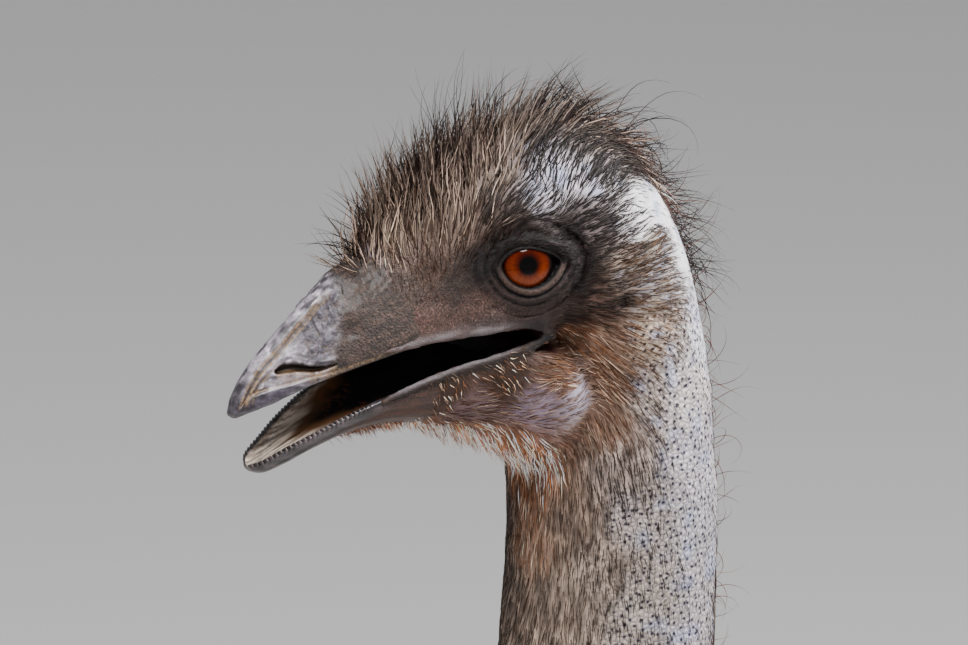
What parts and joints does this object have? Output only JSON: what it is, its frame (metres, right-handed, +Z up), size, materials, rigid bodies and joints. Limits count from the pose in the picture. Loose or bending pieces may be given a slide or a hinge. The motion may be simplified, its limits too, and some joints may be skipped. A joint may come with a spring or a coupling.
{
  "type": "standing emu model",
  "caption": "Life-size still model of a standing adult emu with an open bill, a shaggy coat of drooping feathers and scaled legs.",
  "frame": {"origin": "on the floor, at the middle of the model's box in X and Y", "axes": "+Z up; the bird faces -Y and its left side is +X"},
  "size_m": [0.5306, 1.058, 1.6292],
  "materials": {
    "plumage": "matt, shaggy, dark grey-brown",
    "face": "matt dark skin with hair-like feathers",
    "neck": "pale bluish skin under thin hair-like feathers",
    "bill": "satin grey horn",
    "eye": "glossy amber with a black pupil",
    "leg_scale": "matt scaled skin",
    "claw": "satin dark horn"
  },
  "bodies": {
    "root": {"bill_upper": "bill", "bill_lower": "bill", "head": "face", "eye_left": "eye", "eye_right": "eye", "neck_upper": "neck", "neck_middle": "plumage", "neck_lower": "plumage", "torso": "plumage", "tail": "plumage", "wing_left": "plumage", "wing_right": "plumage", "thigh_left": "plumage", "thigh_right": "plumage", "shank_left": "leg_scale", "shank_right": "leg_scale", "foot_left": "leg_scale", "foot_right": "leg_scale", "claw_inner_left": "claw", "claw_middle_left": "claw", "claw_outer_left": "claw", "claw_inner_right": "claw", "claw_middle_right": "claw", "claw_outer_right": "claw"}
  },
  "joints": []
}
